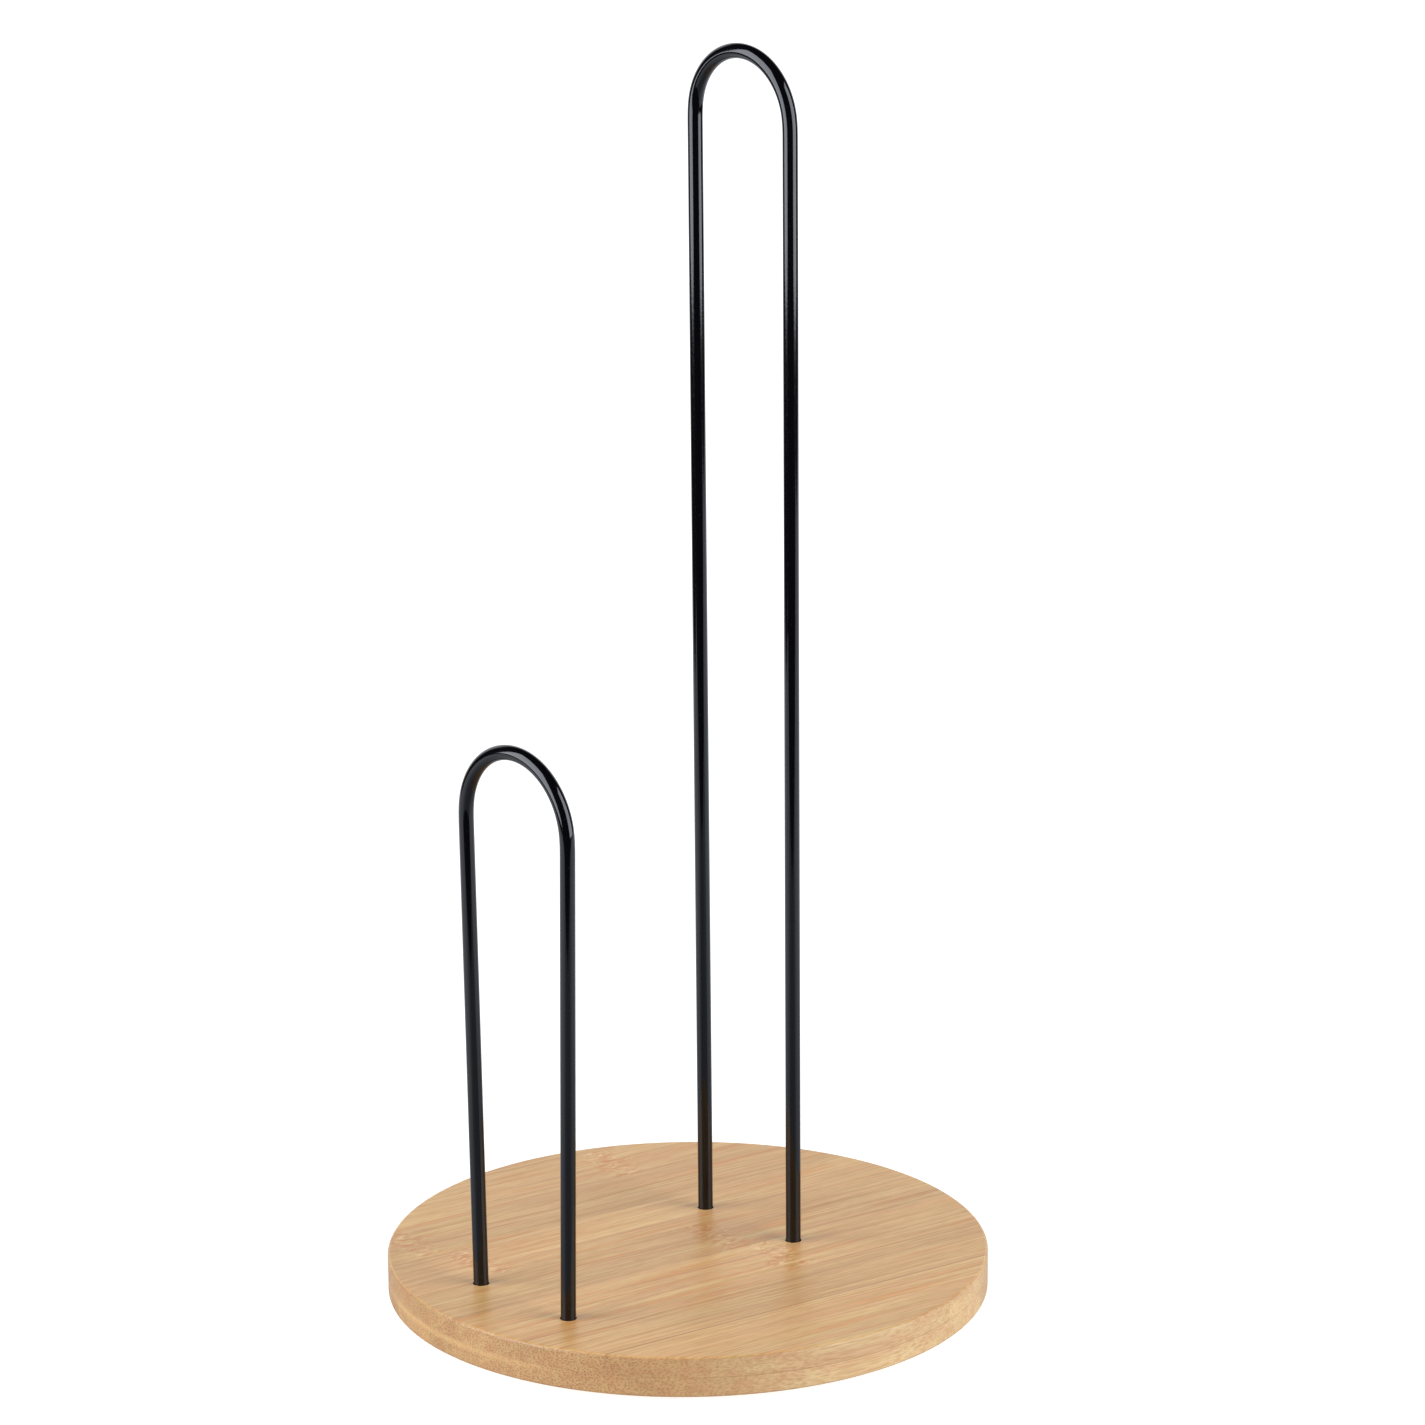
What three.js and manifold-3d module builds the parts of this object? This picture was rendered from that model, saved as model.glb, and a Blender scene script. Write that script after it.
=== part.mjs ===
// Paper towel holder: a round two-ply bamboo board that carries two bent steel wire hoops.
// The tall hoop takes the roll's core. The short hoop stands outside the roll and steadies it
// while a sheet is torn off. Every wire end has a shoulder that seats in the board and a
// threaded stub that a washer and a nut clamp from below, inside a pocket.
//
// Millimetres, +Z up. The origin is the centre of the plane that the holder stands on.
// +Y runs from the short hoop at the front to the tall hoop behind it, and +X is to the right.

import * as THREE from 'three';
import { mergeVertices } from 'three/addons/utils/BufferGeometryUtils.js';
import Module from 'manifold-3d';

const wasm = await Module();
wasm.setup();

// Board: two plies, each of bamboo staves glued edge to edge.
const BOARD_RADIUS = 80;
const PLY_THICKNESS = 5.5;
const TOP_ARRIS_RADIUS = 0.8;
const BOTTOM_ARRIS_RADIUS = 1;
const STAVE_PITCH = 21;
const GLUE_LINE = 0.1;
const GRAIN_LEAN = THREE.MathUtils.degToRad(8.7);
const UPPER_JOINT_OFFSET = 10;
const LOWER_JOINT_OFFSET = 19;

// Non-slip pads under the board, and the heights that follow from them.
const PAD_RADIUS = 6;
const PAD_THICKNESS = 1.5;
const PAD_ARRIS_RADIUS = 0.4;
const PAD_CIRCLE_RADIUS = 66;
const BOARD_BOTTOM = PAD_THICKNESS;
const PLY_JOINT = BOARD_BOTTOM + PLY_THICKNESS;
const BOARD_TOP = PLY_JOINT + PLY_THICKNESS;

// Hoops: half spacing of the feet, then each one's place, the radius of its crown and the
// height of the crown's centre line above the board's top.
const WIRE_RADIUS = 2;
const FOOT_HALF = 17.2;
const TALL_HOOP = { y: 22.5, crownRadius: 17.6, apex: 318.4, label: 'tall' };
const SHORT_HOOP = { y: -58, crownRadius: 19.5, apex: 148.4, label: 'short' };

// Wire ends and their M3 fastenings.
const SEAT_DEPTH = 3;
const SEAT_HOLE_RADIUS = 2.15;
const STUB_RADIUS = 1.5;
const STUB_HOLE_RADIUS = 1.65;
const POCKET_RADIUS = 4.5;
const POCKET_DEPTH = 4;
const WASHER_INNER_RADIUS = 1.6;
const WASHER_OUTER_RADIUS = 3.5;
const WASHER_THICKNESS = 0.5;
const NUT_ACROSS_FLATS = 5.5;
const NUT_HEIGHT = 2.4;
const NUT_BORE_RADIUS = 1.55;
const NUT_CHAMFER = 0.3;
const STUB_PROJECTION = 0.8;
const SEAT_HEIGHT = BOARD_TOP - SEAT_DEPTH;
const POCKET_CEILING = BOARD_BOTTOM + POCKET_DEPTH;
const NUT_TOP = POCKET_CEILING - WASHER_THICKNESS;
const NUT_BOTTOM = NUT_TOP - NUT_HEIGHT;
const STUB_END = NUT_BOTTOM - STUB_PROJECTION;

// Fineness of the faceted surfaces.
const BOARD_SIDES = 96;
const WIRE_SIDES = 20;
const CROWN_STEPS = 24;
const HOLE_SIDES = 24;
const ARRIS_STEPS = 3;

// How far a cutting solid reaches past the surface that it cuts.
const OVERCUT = 1;

const UPPER_BAMBOO = new THREE.Color(0xd0ac87);
const LOWER_BAMBOO = new THREE.Color(0xc99d6d);
const STAVE_TONES = [0, 0.015, -0.01, 0.02, -0.015, 0.005, -0.005, 0.01, -0.02];

const blackEnamel = { color: 0x0c0b10, roughness: 0.22, metalness: 0 };
const zincSteel = { color: 0xb9bbbd, roughness: 0.35, metalness: 1 };
const padRubber = { color: 0x2b2b2c, roughness: 0.85, metalness: 0 };

// ---------------------------------------------------------------------------------------
// Solids

// A closed geometry as a solid that can be joined and cut.
function toSolid(geometry) {
  geometry.deleteAttribute('normal');
  geometry.deleteAttribute('uv');
  const merged = mergeVertices(geometry);
  const vertProperties = merged.attributes.position.array;
  const triVerts = merged.index.array;
  return new wasm.Manifold(new wasm.Mesh({ numProp: 3, vertProperties, triVerts }));
}

function toGeometry(solid) {
  const { vertProperties, triVerts } = solid.getMesh();
  const geometry = new THREE.BufferGeometry();
  geometry.setAttribute('position', new THREE.BufferAttribute(vertProperties, 3));
  geometry.setIndex(new THREE.BufferAttribute(triVerts, 1));
  geometry.computeVertexNormals();
  return geometry;
}

// An upright cylinder between two heights.
function rod(radius, bottom, top, sides, x = 0, y = 0) {
  const geometry = new THREE.CylinderGeometry(radius, radius, top - bottom, sides);
  geometry.rotateX(Math.PI / 2);
  geometry.translate(x, y, (bottom + top) / 2);
  return geometry;
}

// A solid of revolution about Z from a profile of (radius, height) points, bottom to top.
function turned(profile, sides) {
  const geometry = new THREE.LatheGeometry(profile, sides);
  geometry.rotateX(Math.PI / 2);
  return geometry;
}

// The quarter round from one profile angle to another about a centre.
function arris(centreX, centreY, radius, fromAngle) {
  const points = [];
  for (let i = 0; i <= ARRIS_STEPS; i++) {
    const angle = fromAngle + (Math.PI / 2) * (i / ARRIS_STEPS);
    const x = centreX + radius * Math.cos(angle);
    const y = centreY + radius * Math.sin(angle);
    points.push(new THREE.Vector2(x, y));
  }
  return points;
}

function addMesh(group, name, geometry, look) {
  const mesh = new THREE.Mesh(geometry, new THREE.MeshStandardMaterial(look));
  mesh.name = name;
  group.add(mesh);
  return mesh;
}

// ---------------------------------------------------------------------------------------
// Where the four wire ends enter the board

function wireEnds() {
  const ends = [];
  for (const hoop of [TALL_HOOP, SHORT_HOOP]) {
    ends.push({ name: `${hoop.label}_left`, x: -FOOT_HALF, y: hoop.y });
    ends.push({ name: `${hoop.label}_right`, x: FOOT_HALF, y: hoop.y });
  }
  return ends;
}

// ---------------------------------------------------------------------------------------
// Board

// The upper ply as one disc, with a round on its top arris.
function upperDisc() {
  const round = arris(
    BOARD_RADIUS - TOP_ARRIS_RADIUS, BOARD_TOP - TOP_ARRIS_RADIUS, TOP_ARRIS_RADIUS, 0,
  );
  const profile = [
    new THREE.Vector2(0, PLY_JOINT),
    new THREE.Vector2(BOARD_RADIUS, PLY_JOINT),
    ...round,
    new THREE.Vector2(0, BOARD_TOP),
  ];
  return toSolid(turned(profile, BOARD_SIDES));
}

// The lower ply as one disc, with a round on its bottom arris.
function lowerDisc() {
  const round = arris(
    BOARD_RADIUS - BOTTOM_ARRIS_RADIUS, BOARD_BOTTOM + BOTTOM_ARRIS_RADIUS,
    BOTTOM_ARRIS_RADIUS, -Math.PI / 2,
  );
  const profile = [
    new THREE.Vector2(0, BOARD_BOTTOM),
    ...round,
    new THREE.Vector2(BOARD_RADIUS, PLY_JOINT),
    new THREE.Vector2(0, PLY_JOINT),
  ];
  return toSolid(turned(profile, BOARD_SIDES));
}

// Every hole in the board: a seat for the wire, a hole for its stub and a pocket for the nut.
function boardHoles() {
  const cutters = [];
  for (const { x, y } of wireEnds()) {
    cutters.push(rod(SEAT_HOLE_RADIUS, SEAT_HEIGHT, BOARD_TOP + OVERCUT, HOLE_SIDES, x, y));
    cutters.push(rod(
      STUB_HOLE_RADIUS, BOARD_BOTTOM - OVERCUT, SEAT_HEIGHT + OVERCUT, HOLE_SIDES, x, y,
    ));
    cutters.push(rod(POCKET_RADIUS, BOARD_BOTTOM - OVERCUT, POCKET_CEILING, HOLE_SIDES, x, y));
  }
  return wasm.Manifold.union(cutters.map(toSolid));
}

// Distances from the board's centre, across the grain, of a ply's glue joints.
function jointPositions(offset) {
  const positions = [];
  const first = Math.ceil((-BOARD_RADIUS - offset) / STAVE_PITCH);
  for (let u = offset + first * STAVE_PITCH; u < BOARD_RADIUS; u += STAVE_PITCH) {
    positions.push(u);
  }
  return positions;
}

// The strip of space that one stave fills, along the grain and between two glue joints.
function staveSlab(from, to) {
  const width = to - from - GLUE_LINE;
  const height = BOARD_TOP + 2 * OVERCUT;
  const slab = new THREE.BoxGeometry(width, 2 * BOARD_RADIUS + 2 * OVERCUT, height);
  slab.translate((from + to) / 2, 0, BOARD_TOP / 2);
  slab.rotateZ(-GRAIN_LEAN);
  return toSolid(slab);
}

// Saws a drilled ply into its staves, numbered from left to right.
function addStaves(group, plyName, ply, jointOffset, bamboo) {
  const edges = [
    -BOARD_RADIUS - OVERCUT, ...jointPositions(jointOffset), BOARD_RADIUS + OVERCUT,
  ];
  for (let i = 0; i + 1 < edges.length; i++) {
    const stave = ply.intersect(staveSlab(edges[i], edges[i + 1]));
    const color = bamboo.clone().offsetHSL(0, 0, STAVE_TONES[i % STAVE_TONES.length]);
    const look = { color, roughness: 0.45, metalness: 0 };
    addMesh(group, `${plyName}_stave_${i + 1}`, toGeometry(stave), look);
  }
}

function buildBoard() {
  const board = new THREE.Group();
  const holes = boardHoles();
  addStaves(board, 'upper', upperDisc().subtract(holes), UPPER_JOINT_OFFSET, UPPER_BAMBOO);
  addStaves(board, 'lower', lowerDisc().subtract(holes), LOWER_JOINT_OFFSET, LOWER_BAMBOO);
  return board;
}

// ---------------------------------------------------------------------------------------
// Hoops

// A path of straight steps. A sweep along it turns its section at each corner on the
// bisector of the two steps that meet there.
class SteppedPath extends THREE.Curve {
  constructor(points) {
    super();
    this.points = points;
  }

  getPointAt(u) {
    return this.points[Math.round(u * (this.points.length - 1))].clone();
  }

  getTangentAt(u, target = new THREE.Vector3()) {
    const last = this.points.length - 1;
    const index = Math.round(u * last);
    const here = this.points[index];
    const before = here.clone().sub(this.points[Math.max(index - 1, 0)]).normalize();
    const after = this.points[Math.min(index + 1, last)].clone().sub(here).normalize();
    return target.copy(before).add(after).normalize();
  }
}

// A hoop's centre line, from the right foot's seat over the crown to the left foot's seat.
// Each leg is the straight line from its foot that touches the crown's circle.
function hoopPoints({ crownRadius, apex }) {
  const crownHeight = BOARD_TOP + apex - crownRadius;
  const rise = crownHeight - BOARD_TOP;
  const toCentre = Math.hypot(FOOT_HALF, rise);
  const splay = Math.asin(crownRadius / toCentre) - Math.atan(FOOT_HALF / rise);
  const points = [
    new THREE.Vector3(FOOT_HALF, 0, SEAT_HEIGHT),
    new THREE.Vector3(FOOT_HALF, 0, BOARD_TOP),
  ];
  for (let i = 0; i <= CROWN_STEPS; i++) {
    const angle = -splay + (Math.PI + 2 * splay) * (i / CROWN_STEPS);
    const x = crownRadius * Math.cos(angle);
    const z = crownHeight + crownRadius * Math.sin(angle);
    points.push(new THREE.Vector3(x, 0, z));
  }
  points.push(new THREE.Vector3(-FOOT_HALF, 0, BOARD_TOP));
  points.push(new THREE.Vector3(-FOOT_HALF, 0, SEAT_HEIGHT));
  return points;
}

function roundSection(radius, sides) {
  const points = [];
  for (let i = 0; i < sides; i++) {
    const angle = (2 * Math.PI * i) / sides;
    points.push(new THREE.Vector2(radius * Math.cos(angle), radius * Math.sin(angle)));
  }
  return new THREE.Shape(points);
}

// One bent wire with its two stubs.
function buildHoop(hoop) {
  const path = new SteppedPath(hoopPoints(hoop));
  const wire = new THREE.ExtrudeGeometry(roundSection(WIRE_RADIUS, WIRE_SIDES), {
    steps: path.points.length - 1,
    extrudePath: path,
  });
  let solid = toSolid(wire);
  for (const x of [-FOOT_HALF, FOOT_HALF]) {
    solid = solid.add(toSolid(rod(STUB_RADIUS, STUB_END, SEAT_HEIGHT + OVERCUT, WIRE_SIDES, x)));
  }
  const group = new THREE.Group();
  const mesh = addMesh(group, `${hoop.label}_hoop`, toGeometry(solid), blackEnamel);
  mesh.position.y = hoop.y;
  return group;
}

// ---------------------------------------------------------------------------------------
// Fastenings and pads

function washerGeometry() {
  const profile = [
    new THREE.Vector2(WASHER_INNER_RADIUS, 0),
    new THREE.Vector2(WASHER_OUTER_RADIUS, 0),
    new THREE.Vector2(WASHER_OUTER_RADIUS, WASHER_THICKNESS),
    new THREE.Vector2(WASHER_INNER_RADIUS, WASHER_THICKNESS),
    new THREE.Vector2(WASHER_INNER_RADIUS, 0),
  ];
  return toGeometry(toSolid(turned(profile, HOLE_SIDES)));
}

// A hexagon nut: a six-sided bar, bored through, with its corners turned down at both ends.
function nutGeometry() {
  const cornerRadius = NUT_ACROSS_FLATS / Math.sqrt(3);
  const bar = toSolid(rod(cornerRadius, 0, NUT_HEIGHT, 6));
  const bore = toSolid(rod(NUT_BORE_RADIUS, -OVERCUT, NUT_HEIGHT + OVERCUT, HOLE_SIDES));
  const flatRadius = NUT_ACROSS_FLATS / 2;
  const turnedBar = toSolid(turned([
    new THREE.Vector2(0, 0),
    new THREE.Vector2(flatRadius, 0),
    new THREE.Vector2(cornerRadius, NUT_CHAMFER),
    new THREE.Vector2(cornerRadius, NUT_HEIGHT - NUT_CHAMFER),
    new THREE.Vector2(flatRadius, NUT_HEIGHT),
    new THREE.Vector2(0, NUT_HEIGHT),
  ], HOLE_SIDES));
  return toGeometry(bar.intersect(turnedBar).subtract(bore));
}

function padGeometry() {
  const round = arris(
    PAD_RADIUS - PAD_ARRIS_RADIUS, PAD_ARRIS_RADIUS, PAD_ARRIS_RADIUS, -Math.PI / 2,
  );
  const profile = [
    new THREE.Vector2(0, 0),
    ...round,
    new THREE.Vector2(PAD_RADIUS, PAD_THICKNESS),
    new THREE.Vector2(0, PAD_THICKNESS),
  ];
  return toGeometry(toSolid(turned(profile, HOLE_SIDES)));
}

// A washer and a nut on each of the four stubs.
function buildFastenings() {
  const group = new THREE.Group();
  for (const { name, x, y } of wireEnds()) {
    const washer = addMesh(group, `washer_${name}`, washerGeometry(), zincSteel);
    washer.position.set(x, y, NUT_TOP);
    const nut = addMesh(group, `nut_${name}`, nutGeometry(), zincSteel);
    nut.position.set(x, y, NUT_BOTTOM);
  }
  return group;
}

// Four pads, halfway between the axes, close to the board's rim.
function buildPads() {
  const group = new THREE.Group();
  const reach = PAD_CIRCLE_RADIUS * Math.SQRT1_2;
  for (const [row, y] of [['front', -reach], ['back', reach]]) {
    for (const [side, x] of [['left', -reach], ['right', reach]]) {
      const pad = addMesh(group, `pad_${row}_${side}`, padGeometry(), padRubber);
      pad.position.set(x, y, 0);
    }
  }
  return group;
}

// ---------------------------------------------------------------------------------------
// Assembly

const holder = new THREE.Group();
holder.add(buildBoard());
holder.add(buildHoop(TALL_HOOP));
holder.add(buildHoop(SHORT_HOOP));
holder.add(buildFastenings());
holder.add(buildPads());

export default holder;
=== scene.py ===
"""Paper towel holder: the looks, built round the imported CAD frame.

A round board of two bamboo plies carries a tall and a short hoop of black enamelled wire.
Each CAD node is replaced by a finer mesh of the same size, made here in millimetres and
scaled to metres. Places and sizes come from the frame's boxes, and from the named values
below where a box can't give them. +Z is up, and +Y runs from the short hoop to the tall one.
"""

import math

import bmesh
import bpy
from mathutils import Matrix, Vector


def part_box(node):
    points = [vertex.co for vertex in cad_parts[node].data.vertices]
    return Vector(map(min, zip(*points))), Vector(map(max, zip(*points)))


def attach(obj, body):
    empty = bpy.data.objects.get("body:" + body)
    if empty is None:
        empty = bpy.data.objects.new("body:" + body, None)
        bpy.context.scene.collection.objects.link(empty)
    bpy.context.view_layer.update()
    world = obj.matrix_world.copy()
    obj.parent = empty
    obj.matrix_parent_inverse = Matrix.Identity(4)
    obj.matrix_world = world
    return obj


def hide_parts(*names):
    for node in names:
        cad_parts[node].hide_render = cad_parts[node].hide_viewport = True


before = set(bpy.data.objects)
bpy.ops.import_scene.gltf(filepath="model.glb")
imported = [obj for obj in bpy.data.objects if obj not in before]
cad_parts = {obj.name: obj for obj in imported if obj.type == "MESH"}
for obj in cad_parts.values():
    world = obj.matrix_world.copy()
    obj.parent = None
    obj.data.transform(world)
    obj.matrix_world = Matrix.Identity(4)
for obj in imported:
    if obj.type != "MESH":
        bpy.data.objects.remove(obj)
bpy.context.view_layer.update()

MM = 0.001

# ---------------------------------------------------------------------------------------
# Sizes, in millimetres. The first ones repeat the design, because no box holds them.

GRAIN_LEAN = math.radians(8.7)
STAVE_PITCH = 21.0
UPPER_JOINT_OFFSET = 10.0
LOWER_JOINT_OFFSET = 19.0
TOP_ARRIS_RADIUS = 0.8
BOTTOM_ARRIS_RADIUS = 1.0
SEAT_DEPTH = 3.0
SEAT_HOLE_RADIUS = 2.15
STUB_HOLE_RADIUS = 1.65
POCKET_RADIUS = 4.5
POCKET_DEPTH = 4.0
THREAD_RADIUS = 1.5

# Finer sizes, which only the looks have. The thread's crest and flanks are shares of its pitch.
THREAD_PITCH = 0.5
THREAD_DEPTH = 0.3
THREAD_CREST = 0.12
THREAD_FLANK = 0.7
THREAD_RELIEF = 0.7
STUB_POINT = 0.3
STUB_TIP_CHAMFER = 0.1
HOLE_CHAMFER = 0.05
GLUE_GAP = 0.02
WASHER_INNER_RADIUS = 1.6
WASHER_EDGE = 0.1
NUT_BORE_RADIUS = 1.52
NUT_SINK = 0.2
NUT_FACE_SHARE = 0.97
NUT_TURNING_SLOPE = 1.4 * math.tan(math.pi / 6)
PAD_EDGE = 0.4

# The wire's bends begin and end over this length, and its shoulders have this chamfer.
BEND_EASE = 7.0
SHOULDER_CHAMFER = 0.1

# Fineness of the meshes.
BOARD_SIDES = 360
HOLE_SIDES = 64
ARRIS_STEPS = 8
WIRE_SIDES = 48
CROWN_STEPS = 140
LEG_STEPS = 24
EASE_SAMPLES = 16
THREAD_STEPS = 10

# How far a cutting solid reaches past what it cuts.
OVERCUT = 1.0


def box_mm(node):
    """A CAD node's lowest and highest corners, in millimetres."""
    low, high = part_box(node)
    return low / MM, high / MM


UPPER_STAVES = sorted(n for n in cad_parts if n.startswith("upper_stave_"))
LOWER_STAVES = sorted(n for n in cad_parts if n.startswith("lower_stave_"))
BOARD_RADIUS = max(box_mm(n)[1].x for n in UPPER_STAVES)
BOARD_BOTTOM = box_mm(LOWER_STAVES[0])[0].z
PLY_JOINT = box_mm(UPPER_STAVES[0])[0].z
BOARD_TOP = box_mm(UPPER_STAVES[0])[1].z
SEAT_HEIGHT = BOARD_TOP - SEAT_DEPTH


def hoop_sizes(label):
    """A hoop's sizes from its box, and the spacing of its feet from their washers."""
    low, high = box_mm(f"{label}_hoop")
    wire = (high.y - low.y) / 2
    washer_low, washer_high = box_mm(f"washer_{label}_right")
    return {
        "label": label,
        "y": (low.y + high.y) / 2,
        "wire": wire,
        "foot_half": (washer_low.x + washer_high.x) / 2,
        "crown_radius": (high.x - low.x) / 2 - wire,
        "apex": high.z - wire,
        "stub_end": low.z,
    }


HOOPS = [hoop_sizes("tall"), hoop_sizes("short")]

# ---------------------------------------------------------------------------------------
# Meshes


def finish_mesh(name, mesh, sharp_angle):
    """A mesh in millimetres as an object in metres, smooth but for its sharp edges."""
    mesh.transform(Matrix.Scale(MM, 4))
    mesh.shade_smooth()
    mesh.set_sharp_from_angle(angle=sharp_angle)
    obj = bpy.data.objects.new(name, mesh)
    bpy.context.scene.collection.objects.link(obj)
    return obj


def keep_flats(obj):
    """Shades a piece's large faces flat, so that only its small rounds look round."""
    weighted = obj.modifiers.new("flat faces stay flat", "WEIGHTED_NORMAL")
    weighted.keep_sharp = True


def place(obj, node, slot, material):
    """Puts a fine piece in a CAD node's stead."""
    obj.data.materials.clear()
    obj.data.materials.append(material)
    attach(obj, "root")
    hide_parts(node)


def mesh_from(name, verts, faces):
    mesh = bpy.data.meshes.new(name)
    mesh.from_pydata(verts, [], faces)
    mesh.validate()
    return mesh


def turned(name, profile, sides, x=0.0, y=0.0):
    """A mesh of revolution about an upright axis, from (radius, height) points.

    A profile that starts and ends at radius 0 is closed there by its axis, and any
    other profile is closed on itself."""
    on_axis = profile[0][0] == 0 and profile[-1][0] == 0
    ring_points = profile[1:-1] if on_axis else profile
    verts = []
    for radius, height in ring_points:
        for i in range(sides):
            angle = 2 * math.pi * i / sides
            verts.append((x + radius * math.cos(angle), y + radius * math.sin(angle), height))
    rows = len(ring_points)
    faces = []
    for row in range(rows - 1 if on_axis else rows):
        here, above = row * sides, (row + 1) % rows * sides
        for i in range(sides):
            j = (i + 1) % sides
            faces.append((here + i, here + j, above + j, above + i))
    if on_axis:
        faces.append(tuple(reversed(range(sides))))
        faces.append(tuple(range((rows - 1) * sides, rows * sides)))
    return mesh_from(name, verts, faces)


def arris(centre_radius, centre_height, radius, from_angle):
    """A quarter round of a profile, as (radius, height) points."""
    points = []
    for i in range(ARRIS_STEPS + 1):
        angle = from_angle + math.pi / 2 * i / ARRIS_STEPS
        points.append(
            (centre_radius + radius * math.cos(angle), centre_height + radius * math.sin(angle))
        )
    return points


def as_object(mesh):
    obj = bpy.data.objects.new(mesh.name, mesh)
    bpy.context.scene.collection.objects.link(obj)
    return obj


def discard(*objects):
    for obj in objects:
        bpy.data.objects.remove(obj)


def boolean(mesh, tools, operation):
    """The mesh joined, cut or kept where the tools are, as a new mesh."""
    base = as_object(mesh)
    cutters = [as_object(tool) for tool in tools]
    for cutter in cutters:
        modifier = base.modifiers.new("cut", "BOOLEAN")
        modifier.solver = "EXACT"
        modifier.operation = operation
        modifier.object = cutter
    depsgraph = bpy.context.evaluated_depsgraph_get()
    result = bpy.data.meshes.new_from_object(base.evaluated_get(depsgraph), depsgraph=depsgraph)
    discard(base, *cutters)
    return result


# ---------------------------------------------------------------------------------------
# Board


def hole_profile():
    """One hole for a wire end: pocket, stub hole and seat, with a fine chamfer on top."""
    ceiling = BOARD_BOTTOM + POCKET_DEPTH
    return [
        (0, BOARD_BOTTOM - OVERCUT),
        (POCKET_RADIUS, BOARD_BOTTOM - OVERCUT),
        (POCKET_RADIUS, ceiling),
        (STUB_HOLE_RADIUS, ceiling),
        (STUB_HOLE_RADIUS, SEAT_HEIGHT),
        (SEAT_HOLE_RADIUS, SEAT_HEIGHT),
        (SEAT_HOLE_RADIUS, BOARD_TOP - HOLE_CHAMFER),
        (SEAT_HOLE_RADIUS + HOLE_CHAMFER + OVERCUT, BOARD_TOP + OVERCUT),
        (0, BOARD_TOP + OVERCUT),
    ]


def drilled(disc):
    holes = []
    for hoop in HOOPS:
        for x in (-hoop["foot_half"], hoop["foot_half"]):
            holes.append(turned("hole", hole_profile(), HOLE_SIDES, x, hoop["y"]))
    return boolean(disc, holes, "DIFFERENCE")


def upper_disc():
    radius = BOARD_RADIUS - TOP_ARRIS_RADIUS
    height = BOARD_TOP - TOP_ARRIS_RADIUS
    profile = [(0, PLY_JOINT), (BOARD_RADIUS, PLY_JOINT)]
    profile += arris(radius, height, TOP_ARRIS_RADIUS, 0)
    profile += [(0, BOARD_TOP)]
    return drilled(turned("upper ply", profile, BOARD_SIDES))


def lower_disc():
    radius = BOARD_RADIUS - BOTTOM_ARRIS_RADIUS
    height = BOARD_BOTTOM + BOTTOM_ARRIS_RADIUS
    profile = [(0, BOARD_BOTTOM)]
    profile += arris(radius, height, BOTTOM_ARRIS_RADIUS, -math.pi / 2)
    profile += [(BOARD_RADIUS, PLY_JOINT), (0, PLY_JOINT)]
    return drilled(turned("lower ply", profile, BOARD_SIDES))


def stave_edges(joint_offset):
    """Distances across the grain of a ply's glue joints, with its two outer edges."""
    first = math.ceil((-BOARD_RADIUS - joint_offset) / STAVE_PITCH)
    edges = [-BOARD_RADIUS - OVERCUT]
    across = joint_offset + first * STAVE_PITCH
    while across < BOARD_RADIUS:
        edges.append(across)
        across += STAVE_PITCH
    return [*edges, BOARD_RADIUS + OVERCUT]


def slab(left, right):
    """The strip of space between two glue joints, along the grain."""
    joint = GLUE_GAP / 2
    reach = BOARD_RADIUS + OVERCUT
    low, high = BOARD_BOTTOM - 2 * OVERCUT, BOARD_TOP + 2 * OVERCUT
    corners = [
        (x, y, z)
        for z in (low, high)
        for x, y in (
            (left + joint, -reach), (right - joint, -reach),
            (right - joint, reach), (left + joint, reach),
        )
    ]
    faces = [
        (3, 2, 1, 0), (4, 5, 6, 7), (0, 1, 5, 4), (1, 2, 6, 5), (2, 3, 7, 6), (3, 0, 4, 7),
    ]
    mesh = mesh_from("slab", corners, faces)
    mesh.transform(Matrix.Rotation(-GRAIN_LEAN, 4, "Z"))
    return mesh


# ---------------------------------------------------------------------------------------
# Hoops


def thread_depth_at(x, y, z):
    """How deep a right-handed thread is cut at a point, from the axis of its stub."""
    turn = (z / THREAD_PITCH - math.atan2(y, x) / (2 * math.pi)) % 1
    wave = abs(turn - 0.5) * 2
    return THREAD_DEPTH * min(max((wave - THREAD_CREST) / THREAD_FLANK, 0), 1)


def stub_stations(hoop, side):
    """Rings of a threaded stub from its tip to the shoulder: height, radius, threaded."""
    tip = hoop["stub_end"]
    root = THREAD_RADIUS - THREAD_DEPTH
    relief = SEAT_HEIGHT - THREAD_RELIEF
    stations = [
        (tip, root - STUB_TIP_CHAMFER, False),
        (tip + STUB_POINT, THREAD_RADIUS, True),
    ]
    threaded = relief - tip - STUB_POINT
    count = round(threaded / THREAD_PITCH * THREAD_STEPS)
    for i in range(1, count):
        stations.append((tip + STUB_POINT + threaded * i / count, THREAD_RADIUS, True))
    stations += [
        (relief, root, False),
        (SEAT_HEIGHT, root, False),
        (SEAT_HEIGHT, hoop["wire"] - SHOULDER_CHAMFER, False),
        (SEAT_HEIGHT + SHOULDER_CHAMFER, hoop["wire"], False),
    ]
    x = side * hoop["foot_half"]
    return [(Vector((x, 0, z)), Vector((0, 0, side)), r, t) for z, r, t in stations]


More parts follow.
